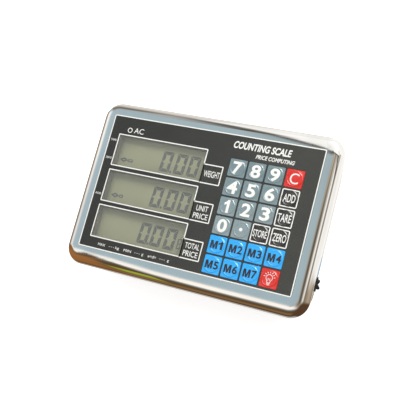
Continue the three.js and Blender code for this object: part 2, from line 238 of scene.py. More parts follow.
def glyph(outline, width, height, at, z):
    """One letter drawn by its own outline, stretched over a box centred at a point."""
    return polygon(fill_box(outline, width, height, at), z, z + INK)


def stroke(points, width, z):
    """A printed line of even width along a run of points."""
    path = [Vector(p) for p in points]
    sides = []
    for i, p in enumerate(path):
        before = path[i] - path[i - 1] if i else path[1] - path[0]
        after = path[i + 1] - path[i] if i + 1 < len(path) else before
        heading = before.normalized() + after.normalized()
        heading = heading.normalized() if heading.length > 1e-6 else after.normalized()
        reach = width / 2 / max(heading.dot(after.normalized()), 0.5)
        side = Vector((-heading.y, heading.x)) * reach
        sides.append((p - side, p + side))
    bm = bmesh.new()
    for (a, b), (c, d) in zip(sides, sides[1:]):
        corners = [a, c, d, b]
        low = [bm.verts.new((q.x, q.y, z)) for q in corners]
        high = [bm.verts.new((q.x, q.y, z + INK)) for q in corners]
        bm.faces.new(low[::-1])
        bm.faces.new(high)
        for i in range(4):
            j = (i + 1) % 4
            bm.faces.new((low[i], low[j], high[j], high[i]))
    bmesh.ops.remove_doubles(bm, verts=bm.verts, dist=1e-4)
    return bm


def polygon(points, low, high):
    return stack([[(x, y, low) for x, y in points], [(x, y, high) for x, y in points]])


def piece(name, bm, look, body=HOUSING, sharp=32, replaces=()):
    """Turns a bmesh in millimetres into a piece that rides on a body."""
    bmesh.ops.recalc_face_normals(bm, faces=bm.faces)
    bmesh.ops.scale(bm, vec=(MM, MM, MM), verts=bm.verts)
    mesh = mesh_of(bm, name)
    mesh.polygons.foreach_set("use_smooth", [True] * len(mesh.polygons))
    mesh.set_sharp_from_angle(angle=math.radians(sharp))
    mesh.materials.append(MATERIALS[look])
    obj = added(name, mesh)
    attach(obj, body)
    if replaces:
        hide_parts(*replaces)


def carve(bm, cutters):
    """Subtracts the cutters, each a bmesh, from bm."""
    meshes = []
    for source in (bm, merged(cutters)):
        bmesh.ops.recalc_face_normals(source, faces=source.faces)
        meshes.append(mesh_of(source))
    objects = [added("carve", mesh) for mesh in meshes]
    modifier = objects[0].modifiers.new("cut", "BOOLEAN")
    modifier.operation = "DIFFERENCE"
    modifier.solver = "EXACT"
    modifier.object = objects[1]
    meshes.append(evaluated(objects[0]))
    out = bmesh.new()
    out.from_mesh(meshes[-1])
    for obj in objects:
        bpy.data.objects.remove(obj)
    for mesh in meshes:
        bpy.data.meshes.remove(mesh)
    return out


# ---- materials ----
class Nodes:
    """A material's node tree, with short calls for the nodes used here."""

    def __init__(self, name, colour, roughness, metallic=0.0, specular=0.5):
        self.material = bpy.data.materials.new(name)
        self.material.use_nodes = True
        self.tree = self.material.node_tree
        self.shader = self.tree.nodes["Principled BSDF"]
        values = {"Base Color": (*colour, 1), "Roughness": roughness, "Metallic": metallic}
        values["Specular IOR Level"] = specular
        self.set_inputs(self.shader, values)
        self.place = self.tree.nodes.new("ShaderNodeTexCoord").outputs["Object"]

    @staticmethod
    def set_inputs(node, values):
        for key, value in dict(values).items():
            node.inputs[key].default_value = value

    def node(self, kind, values=(), **settings):
        made = self.tree.nodes.new("ShaderNode" + kind)
        for key, value in settings.items():
            setattr(made, key, value)
        self.set_inputs(made, values)
        return made

    def link(self, source, target):
        self.tree.links.new(source, target)

    def stretched(self, scale):
        """Object coordinates in millimetres, scaled unevenly to draw a grain out."""
        mapping = self.node("Mapping", {"Scale": [s / MM for s in scale]})
        self.link(self.place, mapping.inputs["Vector"])
        return mapping.outputs["Vector"]

    def noise(self, scale, stretch=(1, 1, 1), detail=3.0, roughness=0.5):
        """Noise with about scale cells to the millimetre."""
        made = self.node("TexNoise", {"Scale": scale, "Detail": detail, "Roughness": roughness})
        self.link(self.stretched(stretch), made.inputs["Vector"])
        return made.outputs["Fac"]

    def range(self, value, low, high, from_low=0.3, from_high=0.7):
        limits = {"From Min": from_low, "From Max": from_high, "To Min": low, "To Max": high}
        made = self.node("MapRange", limits)
        self.link(value, made.inputs["Value"])
        return made.outputs["Result"]

    def fade(self, axis, start, end):
        """0 to 1 between two places along an axis of the object, in metres."""
        axes = self.node("SeparateXYZ")
        self.link(self.place, axes.inputs["Vector"])
        return self.range(axes.outputs[axis], 0, 1, start, end)

    def mottle(self, value, colour, dark, light):
        """A colour that wanders between a darker and a lighter tint of itself."""
        return self.mix(self.range(value, 0, 1), tinted(colour, dark), tinted(colour, light))

    def mix(self, factor, a, b):
        made = self.node("Mix", data_type="RGBA")
        self.link(factor, made.inputs["Factor"])
        for socket, value in ((made.inputs["A"], a), (made.inputs["B"], b)):
            if isinstance(value, tuple):
                socket.default_value = (*value, 1)
            else:
                self.link(value, socket)
        return made.outputs["Result"]

    def colour(self, source):
        self.link(source, self.shader.inputs["Base Color"])

    def rough(self, source):
        self.link(source, self.shader.inputs["Roughness"])

    def bump(self, heights, strength=0.3):
        """heights is a list of (source, height in mm)."""
        normal = None
        for source, height in heights:
            made = self.node("Bump", {"Strength": strength, "Distance": height * MM})
            self.link(source, made.inputs["Height"])
            if normal:
                self.link(normal, made.inputs["Normal"])
            normal = made.outputs["Normal"]
        self.link(normal, self.shader.inputs["Normal"])


def tinted(colour, factor):
    return tuple(c * factor for c in colour)


def polished_steel():
    m = Nodes("polished_steel", (0.86, 0.85, 0.83), 0.045, metallic=1.0)
    lines = m.noise(2.5, (0.03, 1, 1), detail=4)
    haze = m.noise(0.03, detail=4)
    m.colour(m.mix(m.range(haze, 0, 1), (0.83, 0.82, 0.80), (0.89, 0.885, 0.87)))
    m.rough(m.range(lines, 0.012, 0.03))
    m.bump([(lines, 0.0002)], 0.25)
    return m.material


def satin_steel(name, colour, roughness):
    m = Nodes(name, colour, roughness, metallic=1.0)
    grain = m.noise(3.0, (0.03, 1, 1), detail=5)
    stains = m.noise(0.04, detail=5)
    m.colour(m.mottle(stains, colour, 0.85, 1.08))
    m.rough(m.range(grain, roughness - 0.08, roughness + 0.1))
    m.bump([(grain, 0.01), (m.noise(0.05, detail=1), 0.1)], 0.35)
    return m.material


def printed_film():
    """Charcoal print under a fine satin coat, a little cloudy, with painted light that makes it
    lighter towards the right.
    """
    m = Nodes("printed_film", (0.04, 0.04, 0.036), 0.3, specular=0.5)
    cloud = m.noise(0.03, detail=3)
    # Painted light: the print's colour grows lighter towards the right of the panel.
    base = m.mix(m.fade("X", -0.1, 0.11), (0.024, 0.024, 0.021), (0.048, 0.049, 0.043))
    m.colour(m.mix(m.range(cloud, 0, 0.4), base, (0.020, 0.020, 0.018)))
    m.rough(m.range(m.noise(2.0, detail=3), 0.24, 0.34))
    m.bump([(m.noise(5.0, detail=2), 0.004), (m.noise(0.06, detail=1), 0.03)], 0.3)
    return m.material


def ink(name, colour, roughness=0.5):
    m = Nodes(name, colour, roughness)
    speckle = m.noise(1.5, detail=4)
    m.colour(m.mottle(speckle, colour, 0.88, 1.05))
    m.bump([(m.noise(5.0, detail=2), 0.004)], 0.3)
    return m.material


KEYPAD_FAR = 0.037
KEYPAD_NEAR = -0.017
KEY_ROUGHNESS = 0.24


def key_film(name, colour, near_lit_colour=None, spread=0.12):
    """Embossed printed film: mottled ink with painted light that makes it lighter towards the near
    rows, under a satin texture.
    """
    m = Nodes(name, colour, KEY_ROUGHNESS, specular=1.0)
    mottle = m.noise(0.9, detail=6, roughness=0.7)
    # Painted light: the near rows get a lighter copy of the ink colour.
    fade = m.fade("Y", KEYPAD_FAR, KEYPAD_NEAR)
    near_lit_colour = near_lit_colour or colour
    dark = m.mix(fade, tinted(colour, 1 - spread), tinted(near_lit_colour, 1 - spread))
    light = m.mix(fade, tinted(colour, 1 + spread), tinted(near_lit_colour, 1 + spread))
    m.colour(m.mix(m.range(mottle, 0, 1), dark, light))
    m.rough(m.range(m.noise(2.5, detail=3), KEY_ROUGHNESS - 0.05, KEY_ROUGHNESS + 0.08))
    m.bump([(m.noise(4.0, detail=3), 0.006), (mottle, 0.012)], 0.35)
    return m.material


def clear_pane():
    m = Nodes("clear_pane", (0.9, 0.93, 0.88), 0.06, specular=0.3)
    m.shader.inputs["Alpha"].default_value = 0.06
    smear = m.noise(0.05, (1, 0.4, 1), detail=4)
    m.rough(m.range(smear, 0.03, 0.12))
    return m.material


def lcd_glass():
    m = Nodes("lcd_glass", (0.22, 0.225, 0.13), 0.4, specular=0.2)
    cloud = m.noise(0.02, (1, 1.6, 1), detail=2)
    grain = m.noise(6.0, detail=2)
    base = m.mix(m.range(cloud, 0, 1), (0.205, 0.21, 0.118), (0.245, 0.25, 0.145))
    m.colour(m.mix(m.range(grain, 0, 0.5), base, (0.185, 0.192, 0.108)))
    m.bump([(grain, 0.002)], 0.3)
    return m.material


def moulded(name, colour, roughness, grain=0.02, specular=0.5):
    """Moulded plastic or rubber with a spark-eroded grain."""
    m = Nodes(name, colour, roughness, specular=specular)
    texture = m.noise(3.0, detail=4, roughness=0.6)
    wear = m.noise(0.15, detail=5)
    m.colour(m.mottle(wear, colour, 0.8, 1.25))
    m.rough(m.range(texture, roughness - 0.08, roughness + 0.12))
    m.bump([(texture, grain)], 0.5)
    return m.material


def circuit_board(name, colour, copper):
    """Solder mask with copper traces showing through as a lighter maze."""
    m = Nodes(name, colour, 0.35, specular=0.5)
    traces = m.node("TexBrick", {"Scale": 0.25, "Mortar Size": 0.06}, offset=0.5, squash=1.0)
    m.link(m.stretched((1, 1, 1)), traces.inputs["Vector"])
    weave = m.noise(1.2, detail=3)
    base = m.mottle(weave, colour, 0.8, 1.2)
    m.colour(m.mix(traces.outputs["Fac"], base, copper))
    m.bump([(traces.outputs["Fac"], 0.03), (weave, 0.02)], 0.4)
    return m.material


PANEL_LINE = (-106.5, -63.95, 105.5, 67.2)
MATERIALS = {
    "steel": polished_steel(),
    "rear": satin_steel("satin_steel", (0.66, 0.66, 0.65), 0.34),
    "zinc": satin_steel("zinc_plate", (0.62, 0.63, 0.64), 0.3),
    "film": printed_film(),
    "white": ink("white_ink", (0.80, 0.80, 0.76)),
    "dark": ink("dark_ink", (0.02, 0.022, 0.03)),
    # The digit film's second colour is painted light on the near rows of keys.
    "digit": key_film("digit_film", (0.150, 0.216, 0.234), (0.212, 0.276, 0.292), 0.14),
    "function": key_film("function_film", (0.017, 0.017, 0.017)),
    "memory": key_film("memory_film", (0.012, 0.352, 0.79), spread=0.08),
    "alert": key_film("alert_film", (0.60, 0.014, 0.007), spread=0.08),
    "pane": clear_pane(),
    "lcd": lcd_glass(),
    "segment": ink("segment_ink", (0.034, 0.040, 0.034), 0.6),
    "recess": moulded("recess_plastic", (0.105, 0.10, 0.075), 0.55),
    "black": moulded("black_plastic", (0.014, 0.014, 0.014), 0.32),
    "rubber": moulded("grommet_rubber", (0.012, 0.012, 0.012), 0.7, 0.04, 0.3),
    "lamp": moulded("lamp_epoxy", (0.05, 0.02, 0.02), 0.12, 0.0),
    "board": circuit_board("solder_mask", (0.02, 0.13, 0.05), (0.05, 0.26, 0.11)),
    "laminate": circuit_board("power_laminate", (0.26, 0.14, 0.05), (0.42, 0.26, 0.12)),
    "core": moulded("core_iron", (0.05, 0.045, 0.04), 0.45),
    "battery": moulded("battery_case", (0.02, 0.022, 0.027), 0.45),
}


# ---- steel shell ----
def wall_inset(depth):
    tangent_depth = EDGE_RADIUS * (1 + math.sin(DRAFT))
    return EDGE_RADIUS * (1 - math.cos(DRAFT)) + (depth - tangent_depth) * math.tan(DRAFT)


def shell_loop(z, inset, rounding=None):
    """One level of the shell, drawn in by inset, its corner radius less by rounding."""
    rounding = inset if rounding is None else rounding
    extra = 2 * (inset - rounding)
    size = (SHELL_WIDTH - extra, SHELL_HEIGHT - extra, CORNER_RADIUS)
    return ring(*size, z, rounding, (0, 0), 16)


EDGE_STEPS = 24


def skin(offset, back_z):
    """Levels of one side of the sheet from the back up to the middle of the face."""
    radius = EDGE_RADIUS - offset
    centre_z = SHELL_TOP_Z - EDGE_RADIUS
    back_inset = wall_inset(SHELL_TOP_Z - back_z) + offset / math.cos(DRAFT)
    rounding = EDGE_RADIUS - radius * math.cos(DRAFT)
    loops = [shell_loop(back_z, back_inset, rounding)]
    loops.append(shell_loop(back_z + 0.6, back_inset - 0.6 * math.tan(DRAFT), rounding))
    for i in range(EDGE_STEPS + 1):
        a = -DRAFT + (math.pi / 2 + DRAFT) * i / EDGE_STEPS
        height = centre_z + radius * math.sin(a)
        loops.append(shell_loop(height, EDGE_RADIUS - radius * math.cos(a)))
    loops.append(shell_loop(SHELL_TOP_Z - offset, EDGE_RADIUS + 0.4))
    return loops


def hole_through(node, clearance, radius, segments):
    """Cutter for an opening in the face, a little larger or smaller than the node it shows."""
    width, height = extent(node)
    size = (width + clearance, height + clearance, radius)
    return slab(*size, SHELL_TOP_Z - SHEET - 1, SHELL_TOP_Z + 1, centre(node), segments)


def steel_shell():
    back_z = SHELL_BACK_Z
    flange_inset = wall_inset(SHELL_TOP_Z - back_z) + 12
    inner = skin(SHEET, back_z + SHEET)
    outer = skin(0, back_z)
    flange = [shell_loop(z, flange_inset, CORNER_RADIUS - 4) for z in (back_z + SHEET, back_z)]
    holes = [hole_through("window_pane_" + name, 0.4, 0.5, 2) for name in WINDOWS]
    holes.append(hole_through("keypad_frame", -4, 1, 3))
    holes.append(disc(2, SHELL_TOP_Z - SHEET - 1, SHELL_TOP_Z + 1, centre("mains_lamp")))
    for screw in SCREWS:
        holes.append(disc(SCREW_HOLE, back_z - 1, back_z + SHEET + 1, centre(screw), 20))
    holes.append(turned(slab(8.8, 11.6, 0.5, -4, 4), ROCKER_FRAME))
    return carve(stack(inner[::-1] + flange + outer), holes)


# The switch's own axes: X along the wall's length turned to -Y, Y up the wall, Z out of it.
def rocker_frame():
    joint = next(j for j in frame["joints"] if j["name"] == "rocker_turn")
    pivot = Vector(joint["pos_m"]) / MM
    normal = Vector((math.cos(DRAFT), 0, -math.sin(DRAFT)))
    along = Vector((0, 1, 0))
    turn = Matrix((along.cross(normal), along, normal)).transposed().to_4x4()
    return Matrix.Translation(pivot - normal * 0.5) @ turn


ROCKER_FRAME = rocker_frame()

piece("steel_shell", steel_shell(), "steel", replaces=["front_shell"])


# ---- keys ----
RIDGE_RADIUS = 6.7
RIDGE_HALF_WIDTH = 0.95
RIDGE_HEIGHT = 0.38
DOME_EDGE = 0.22
DOME_RISE = 0.3
KEY_BEVEL = 0.15


def emboss(r):
    """Height of a key's pressed ring and shallow dome at a distance r from its middle."""
    inward = min(max((RIDGE_RADIUS + RIDGE_HALF_WIDTH - r) / (2 * RIDGE_HALF_WIDTH), 0), 1)
    height = DOME_EDGE * inward * inward * (3 - 2 * inward)
    if abs(r - RIDGE_RADIUS) < RIDGE_HALF_WIDTH:
        swing = math.cos(math.pi * (r - RIDGE_RADIUS) / RIDGE_HALF_WIDTH)
        height += RIDGE_HEIGHT * (1 + swing) / 2
    crown = RIDGE_RADIUS - RIDGE_HALF_WIDTH
    if r < crown:
        height += DOME_RISE * (1 - (r / crown) ** 2)
    return height


def keycap(at, base):
    shoulder = KEY_TOP_Z - KEY_BEVEL
    levels = [
        (base, 0.1), (base + 0.1, 0), (shoulder, 0), (shoulder + KEY_BEVEL * 0.7, KEY_BEVEL * 0.3),
        (KEY_TOP_Z, KEY_BEVEL), (KEY_TOP_Z, KEY_BEVEL + 0.1),
    ]
    loops = [ring(KEY_SIZE, KEY_SIZE, 1.0, z, inset, at, 15) for z, inset in levels]
    steps = 30
    for i in range(steps):
        r = (RIDGE_RADIUS + RIDGE_HALF_WIDTH) * (1 - i / steps)
        loops.append(circle(r, KEY_TOP_Z + emboss(r), at, 64))
    return stack(loops)


CONFORM_STEP = 0.5


def conform(bm, at):
    """Lays flat lettering over a key's emboss, cut finely enough to follow the ring."""
    for axis in (0, 1):
        values = [v.co[axis] for v in bm.verts]
        across = Vector((1 - axis, axis, 0))
        cuts = int((max(values) - min(values)) / CONFORM_STEP)
        for i in range(1, cuts + 1):
            where = across * (min(values) + i * CONFORM_STEP)
            everything = [*bm.verts, *bm.edges, *bm.faces]
            bmesh.ops.bisect_plane(bm, geom=everything, plane_co=where, plane_no=across)
    for v in bm.verts:
        v.co.z += emboss(math.hypot(v.co.x - at[0], v.co.y - at[1]))
    return bm


def lamp_drawing(at, z):
    """Outline of a glowing bulb: globe, screw base, filament and rays."""
    x, y = at[0], at[1] - 0.4
    line = 0.5
    outline = [(x - 1.3, y - 3.2), (x - 1.5, y - 1.9)]
    for i in range(13):
        a = math.radians(225 - 270 * i / 12)
        outline.append((x + 2.9 * math.cos(a), y + 1.0 + 2.9 * math.sin(a)))
    outline += [(x + 1.5, y - 1.9), (x + 1.3, y - 3.2)]
    strokes = [stroke(outline, line, z)]
    for drop, half in ((-3.4, 1.5), (-4.3, 1.4), (-5.2, 1.0)):
        strokes.append(stroke([(x - half, y + drop), (x + half, y + drop)], line, z))
    filament = ((-0.7, -1.6), (-1.0, 0.6), (0, -0.4), (1.0, 0.6), (0.7, -1.6))
    strokes.append(stroke([(x + dx, y + dy) for dx, dy in filament], 0.35, z))
    for i in range(7):
        a = math.radians(12 + 26 * i)
        ends = [(x + r * math.cos(a), y + 1.0 + r * math.sin(a)) for r in (4.1, 5.4)]
        strokes.append(stroke(ends, 0.55, z))
    return merged(strokes)


DIGIT_HIGH = 12.0
DIGIT_WIDE = {"0": 9.2, "1": 5.6, "2": 9.0, "3": 9.0, "4": 9.8, "5": 8.8, "6": 9.2, "7": 9.0}
LETTER_M = [
    (0, 0), (1.7, 0), (1.7, 4.3), (2.8, 0), (4.2, 0), (5.3, 4.3), (5.3, 0), (7, 0), (7, 7.2),
    (4.75, 7.2), (3.5, 2.6), (2.25, 7.2), (0, 7.2),
]
FIGURE_1 = [
    (2.5, 0), (5.1, 0), (5.1, 12), (3.0, 12), (2.2, 10.6), (1.2, 9.7), (0, 9.1), (0, 6.9),
    (1.4, 7.4), (2.5, 8.2),
]
WORD_SIZES = {"add": (10.8, 7.2), "tare": (12.2, 7.2), "store": (12.8, 6.4), "zero": (12.2, 7.2)}


def figure(character, width, height, at, z, weight):
    if character == "1":
        return glyph(FIGURE_1, width * 0.9, height, (at[0] - width * 0.1, at[1]), z)
    return lettering(character, width, height, at, z, weight)


def legend(key, at, z):
    """What is printed on a key."""
    if key == "point":
        return disc(1.6, z, z + INK, at, 32)
    if key == "lamp":
        return lamp_drawing(at, z)
    if key == "clear":
        return lettering("C", 8.0, 9.8, at, z, 0.0)
    if key in WORD_SIZES:
        return lettering(key.upper(), *WORD_SIZES[key], at, z, 0.12)
    if key.startswith("m"):
        letter = glyph(LETTER_M, 6.9, 7.2, (at[0] - 2.75, at[1]), z)
        return merged([letter, figure(key[1], 4.5, 7.2, (at[0] + 3.95, at[1]), z, 0.26)])
    return figure(key, DIGIT_WIDE.get(key, 9.2), DIGIT_HIGH, at, z, 0.3)


def key_look(key):
    """Film material and slot of a key."""
    if key in WORD_SIZES:
        return "function", "key_function"
    if key in ("clear", "lamp"):
        return "alert", "key_alert"
    if key.startswith("m"):
        return "memory", "key_memory"
    return "digit", "key_digit"


def make_key(key):
    node = "key_" + key
    at = centre(node)
    look, slot = key_look(key)
    cap = keycap(at, node_box(node)[0].z)
    piece("keycap_" + key, cap, look, node, replaces=[node])
    print_z = KEY_TOP_Z + 0.05
    letters = conform(legend(key, at, print_z), at)
    piece("legend_" + key, letters, "dark" if look == "memory" else "white", node)
    if look == "function":
        line = 1.0
        edge = KEY_SIZE - line - 0.1
        border = plate_ring(edge, edge, line, print_z - 0.05, print_z, 0.9, at)
        piece("legend_border_" + key, border, "white", node)


for key in KEY_NAMES:
    make_key(key)

# ---- printed film ----
LINE = 1.0
FRAME_LEFT = -96.7
FRAME_RIGHT = -2.9
FRAME_TALL = 31.05
TAG_RIGHT = 16.2
TAG_HIGH = 13.8
TAG_LOW = 31.3


def film_frame(name, x0, y0, x1, y1, radius=0.3):
    at = ((x0 + x1) / 2, (y0 + y1) / 2)
    bm = plate_ring(x1 - x0, y1 - y0, LINE, FACE_Z, FACE_Z + INK, radius, at)
    piece("print_" + name, bm, "white")


def film_text(name, text, x0, y0, x1, y1, weight=0.1, slant=0.0):
    at = ((x0 + x1) / 2, (y0 + y1) / 2)
    bm = lettering(text, x1 - x0, y1 - y0, at, FACE_Z, weight, slant)
    piece("print_" + name, bm, "white")


def film_prints():
    film_frame("panel_line", *PANEL_LINE, 1.0)
    tops = {"weight": 49.0, "unit_price": 13.4, "total_price": -22.0}
    words = {
        "weight": [("WEIGHT", -0.8, 15.0, -25.3, -19.3)],
        "unit_price": [("UNIT", 1.0, 12.6, -21.8, -16.6), ("PRICE", -0.4, 14.0, -29.0, -23.8)],
        "total_price": [("TOTAL", -0.2, 14.0, -21.8, -16.6), ("PRICE", -0.4, 14.0, -29.0, -23.8)],
    }
    for name, top in tops.items():
        film_frame("frame_" + name, FRAME_LEFT, top - FRAME_TALL, FRAME_RIGHT, top)
        film_frame("tag_" + name, FRAME_RIGHT, top - TAG_LOW, TAG_RIGHT, top - TAG_HIGH)
        for i, (word, x0, x1, y0, y1) in enumerate(words[name]):
            film_text(f"tag_{name}_{i + 1}", word, x0, top + y0, x1, top + y1, 0.06)
    lamp_ring = washer(1.75, 2.5, FACE_Z, FACE_Z + INK, centre("mains_lamp"), 40)
    piece("print_lamp_ring", lamp_ring, "white")
    film_text("lamp_word", "AC", -82.2, 52.1, -72.0, 57.4, 0.0)
    film_text("title", "COUNTING SCALE", 20.7, 55.0, 76.0, 61.8, 0.3, 0.2)
    film_text("subtitle", "PRICE COMPUTING", 44.0, 48.5, 80.5, 52.3, 0.24, 0.2)
    for name, word, y in (("tare", "TARE", 42.5), ("zero", "ZERO", 24.4), ("add", "ADD", -11.7)):
        film_text("hint_" + name, word, -104.6, y - 0.95, -98.2, y + 0.95, 0.02)
    row_words = (
        ("MAX", -86.3, -78.6), ("- - -", -74.4, -69.0), ("kg", -67.6, -63.6), ("MIN", -58.6, -50.8),
        ("- - -", -47.0, -41.6), ("g", -39.6, -37.8), ("e=d=", -33.0, -24.6), ("- - -", -21.0, -15.6),
        ("g", -13.2, -11.4),
    )
    levels = {
        "g": (-60.8, -58.4), "kg": (-60.8, -57.6), "- - -": (-59.4, -59.0), "e=d=": (-60.3, -57.7),
    }
    for i, (word, x0, x1) in enumerate(row_words):
        low, high = levels.get(word, (-60.3, -57.9))
        film_text(f"row_{i + 1}", word, x0, low, x1, high, 0.04)


film_prints()

# ---- displays ----
SEGMENT_LINE = 3.2
SEGMENT_GAP = 0.3
DIGIT_TALL = 20.0
DIGIT_BROAD = 10.8
DIGIT_LEAN = 1.3


def segments_lit(figure):
    """Which of the seven segments a figure lights, in the order a to g."""
    return {"0": "abcdef", "8": "abcdefg"}[figure]


def segment_digit(figure, x, top, width, height, line, lean, low, high):
    """Seven-segment figure whose upper left corner is at x, top, with mitred corners."""
    gap = SEGMENT_GAP * line / SEGMENT_LINE
    mid = height / 2
    level = [(gap, 0), (width - gap, 0), (width - line - gap, line), (line + gap, line)]
    half = line / 2
    upright = [
        (0, gap), (line, line + gap), (line, mid - half - gap), (half, mid - gap), (0, mid - gap),
    ]
    bar = [
        (gap + half, mid), (gap + line, mid - half), (width - gap - line, mid - half),
        (width - gap - half, mid), (width - gap - line, mid + half), (gap + line, mid + half),
    ]
    shapes = {
        "a": level,
        "b": [(width - u, v) for u, v in upright],
        "c": [(width - u, height - v) for u, v in upright],
        "d": [(u, height - v) for u, v in level],
        "e": [(u, height - v) for u, v in upright],
        "f": upright,
        "g": bar,
    }
    out = []
    for name in segments_lit(figure):
        leaned = [(x + u - lean * v / height, top - v) for u, v in shapes[name]]
        out.append(polygon(leaned, low, high))
    return out


def pointer(x, y, length, low, high):
    """Left-pointing diamond with a tail."""
    half = 2.6
    outer = [(x, y), (x + 4.8, y - half), (x + 9.0, y), (x + 4.8, y + half)]
    inner = [(x + 3.4, y), (x + 4.8, y - half + 1.9), (x + 6.0, y), (x + 4.8, y + half - 1.9)]
    levels = ((inner, low), (outer, low), (outer, high), (inner, high))
    diamond = stack([[(px, py, z) for px, py in line] for line, z in levels], closed=True)
    tail = plate_ring(length - 9.4, 2.1, 1.0, low, high, 0.2, (x + 9.4 + (length - 9.4) / 2, y))
    return [diamond, tail]


DISPLAY_FIGURES = {
    "weight": ((-49.4, -34.4, -20.8), 42.3, (-38.3, 23.4)),
    "unit_price": ((-49.4, -34.2, -20.5), 7.1, (-38.0, -11.6)),
    "total_price": ((-51.8, -38.4, -24.4), -28.8, (-41.0, -47.6)),
}


def make_display(name):
    node = "lcd_" + name
    low, high = node_box(node)
    glass = block(*extent(node), low.z, high.z, 0.5, 0.25, centre(node))
    piece("glass_" + name, glass, "lcd", replaces=[node])
    bottom, top = high.z, high.z + 0.04
    columns, upper, point = DISPLAY_FIGURES[name]
    marks = []
    for x in columns:
        size = (DIGIT_BROAD, DIGIT_TALL, SEGMENT_LINE, DIGIT_LEAN)
        marks += segment_digit("0", x, upper, *size, bottom, top)
    marks.append(disc(1.15, bottom, top, point, 20))
    if name == "weight":
        marks += pointer(-94.2, 26.6, 14.0, bottom, top)
    elif name == "unit_price":
        marks += pointer(-92.8, -9.2, 12.8, bottom, top)
    else:
        marks += segment_digit("8", -11.9, -36.4, 4.2, 9.8, 1.25, 0.5, bottom, top)
    piece("figures_" + name, merged(marks), "segment")


for name in WINDOWS:
    make_display(name)

# ---- power switch ----
BEZEL = (10.4, 12.6)
BEZEL_NECK = (8.2, 11.0)
MOUTH = (7.4, 10.2)
ROCKER_SPIN = Matrix.Rotation(math.radians(-8), 4, "X")


def at_switch(bm):
    """Stands a bmesh built in the switch's axes, its pivot at the origin, in the right wall."""
    return turned(bm, ROCKER_FRAME @ Matrix.Translation((0, 0, 0.5)))


def bezel():
    """Snap-in frame with rounded lips round the mouth and a fence that guards the rocker."""
    low, high = -0.35, 0.9
    levels = [
        (MOUTH, 0.4, low - 4.5, 0), (MOUTH, 0.4, high - 0.3, 0), (MOUTH, 0.4, high, -0.3),
        (BEZEL, 1.0, high, 0.45), (BEZEL, 1.0, high - 0.15, 0.15), (BEZEL, 1.0, high - 0.5, 0),
        (BEZEL, 1.0, low, 0), (BEZEL_NECK, 0.4, low, 0), (BEZEL_NECK, 0.4, low - 4.5, 0),
    ]
    outline = [ring(*size, radius, z, inset, (0, 0), 4) for size, radius, z, inset in levels]
    return at_switch(stack(outline, closed=True))


def rocker_profile():
    """Side view of the rocker: two lobes either side of a hollow saddle, and a round underside."""
    half, end, valley, belly = 4.4, 3.3, 1.8, 4.2
    points = []
    for i in range(25):
        y = -half + 2 * half * i / 24
        share = abs(y) / (half - 1.2)
        lobe = valley + (end - valley) * math.sin(math.pi / 2 * min(share, 1)) ** 1.6
        round_off = 1.3 * max(0, (abs(y) - half + 0.9) / 0.9) ** 2
        points.append((y, lobe - round_off))
    for i in range(1, 12):
        a = math.radians(-6 - 168 * i / 12)
        points.append((belly * math.cos(a), belly * math.sin(a)))
    return points


def rocker_solid():
    """The profile drawn across the rocker's width with softened side edges."""
    side = [Vector(p) for p in rocker_profile()]
    loops = []
    for x, inset in ((-3.3, 0.35), (-3.2, 0.12), (-2.95, 0), (2.95, 0), (3.2, 0.12), (3.3, 0.35)):
        shrunk = [p * (1 - inset / max(p.length, 1)) for p in side]
        loops.append([(x, p.x, p.y) for p in shrunk])
    return at_switch(turned(stack(loops), ROCKER_SPIN))


def rocker_marks():
    """Engraved-look moulded signs, a bar on the one lobe and a ring on the other."""
    top = rocker_profile()[:25]
    marks = []
    for place, kind in ((2.8, "bar"), (-2.8, "ring")):
        height = min(top, key=lambda p: abs(p[0] - place))[1]
        low, high = height - 0.1, height + 0.06
        if kind == "bar":
            mark = block(0.4, 1.5, low, high, 0.1, 0.03, (0, place), 2)
        else:
            mark = washer(0.4, 0.75, low, high, (0, place))
        marks.append(at_switch(turned(mark, ROCKER_SPIN)))
    return merged(marks)


piece("switch_bezel", bezel(), "black")
piece("rocker", rocker_solid(), "black", "power_rocker", 40, ["power_rocker"])
piece("rocker_marks", rocker_marks(), "white", "power_rocker")


# ---- rear fittings ----
def cover_screw(name):
    """Pan-head screw with a cross recess, its head to the rear."""
    low, high = node_box(name)
    at = centre(name)
    head = low.z
    profile = [(0.0, head)]
    for i in range(9):
        a = math.pi / 2 * i / 8
        profile.append((3.0 * math.sin(a), head + 1.4 * (1 - math.cos(a))))
    profile += [(3.0, head + 2.0), (1.45, head + 2.0), (1.45, high.z - 0.8), (0.0, high.z)]
    body = lathe(profile, at, 32)
    for size in ((3.0, 0.6), (0.6, 3.0)):
        body = carve(body, [block(*size, head - 1, head + 1.2, 0.1, 0.05, at, 2)])
    return body


for screw in SCREWS:
    piece("head_" + screw, cover_screw(screw), "zinc", replaces=[screw])


def grommet_ring():
    """Grooved rubber ring with a rounded mouth and a tapered inner end."""
    low, high = node_box("cable_grommet")
    cover_low, cover_high = node_box("rear_cover")
    hole, rim = 3.4, (high.x - low.x) / 2
    lip = 1.2
    profile = [
        (hole + lip * (1 - math.cos(a)), low.z + lip * (1 - math.sin(a)))
        for a in (0.0, 0.4, 0.8, 1.2, 1.57)
    ]
    profile += [
        (rim - 0.8, low.z), (rim - 0.3, low.z + 0.15), (rim, low.z + 0.7), (rim, cover_low.z),
        (5.7, cover_low.z), (5.7, cover_high.z), (7.6, cover_high.z), (7.4, high.z - 0.3),
        (7.0, high.z), (hole, high.z),
    ]
    at = centre("cable_grommet")
    return stack([circle(r, z, at, 40) for r, z in profile], closed=True)


piece("grommet", grommet_ring(), "rubber", replaces=["cable_grommet"])


INLET_CASE = (26.6, 19.4)
INLET_MOUTH = (24.0, 16.2)
BLADES = ((-7, 2), (7, 2), (0, -2))


